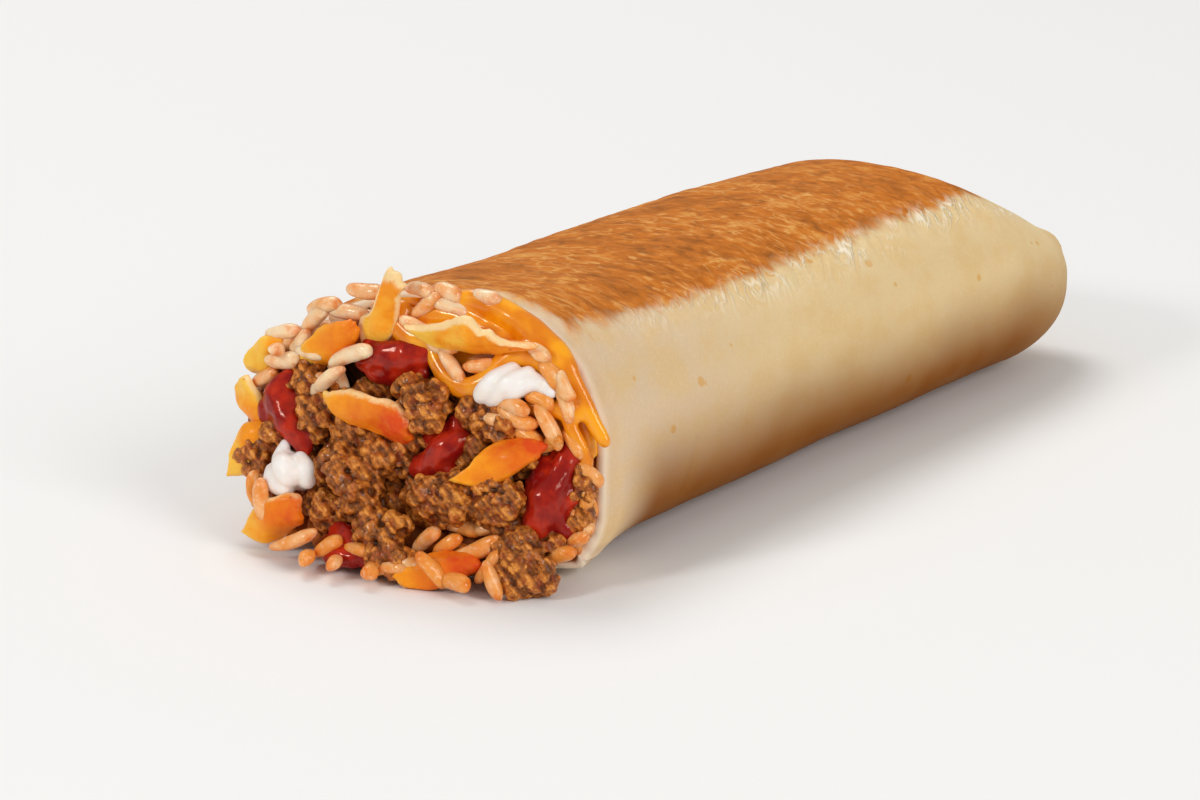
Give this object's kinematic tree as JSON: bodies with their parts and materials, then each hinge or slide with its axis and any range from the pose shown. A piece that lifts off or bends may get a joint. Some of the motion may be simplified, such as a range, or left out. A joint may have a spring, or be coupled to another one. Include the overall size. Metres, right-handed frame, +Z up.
{
  "type": "grilled burrito",
  "caption": "Grilled flour tortilla rolled round minced beef, rice, cheese sauce, red sauce, soured cream and corn chips, folded shut at one end and open at the other.",
  "frame": {"origin": "under the middle of the burrito's bounding box, on the surface that it lies on", "axes": "+Z up, +Y along the roll from the open end to the folded tip, +X to the right seen from the open end"},
  "size_m": [0.0598, 0.1628, 0.04],
  "materials": {
    "tortilla": "soft baked dough, satin, browned in orange-brown streaks on top",
    "beef": "moist and rough",
    "rice": "moist, translucent",
    "cheese_sauce": "smooth and glossy",
    "red_sauce": "wet and glossy",
    "sour_cream": "smooth, soft sheen",
    "corn_chip": "crisp, with pale bubbly edges"
  },
  "bodies": {
    "root": {"tortilla": "tortilla", "beef": "beef", "rice": "rice", "cheese_sauce": "cheese_sauce", "red_sauce_top": "red_sauce", "red_sauce_left": "red_sauce", "red_sauce_middle": "red_sauce", "red_sauce_right": "red_sauce", "red_sauce_foot": "red_sauce", "sour_cream_top": "sour_cream", "sour_cream_left": "sour_cream", "chip_centre": "corn_chip", "chip_right": "corn_chip", "chip_crest": "corn_chip", "chip_shoulder": "corn_chip", "chip_peak": "corn_chip", "chip_corner": "corn_chip", "chip_side": "corn_chip", "chip_flank": "corn_chip", "chip_foot": "corn_chip", "chip_bottom": "corn_chip"}
  },
  "joints": []
}
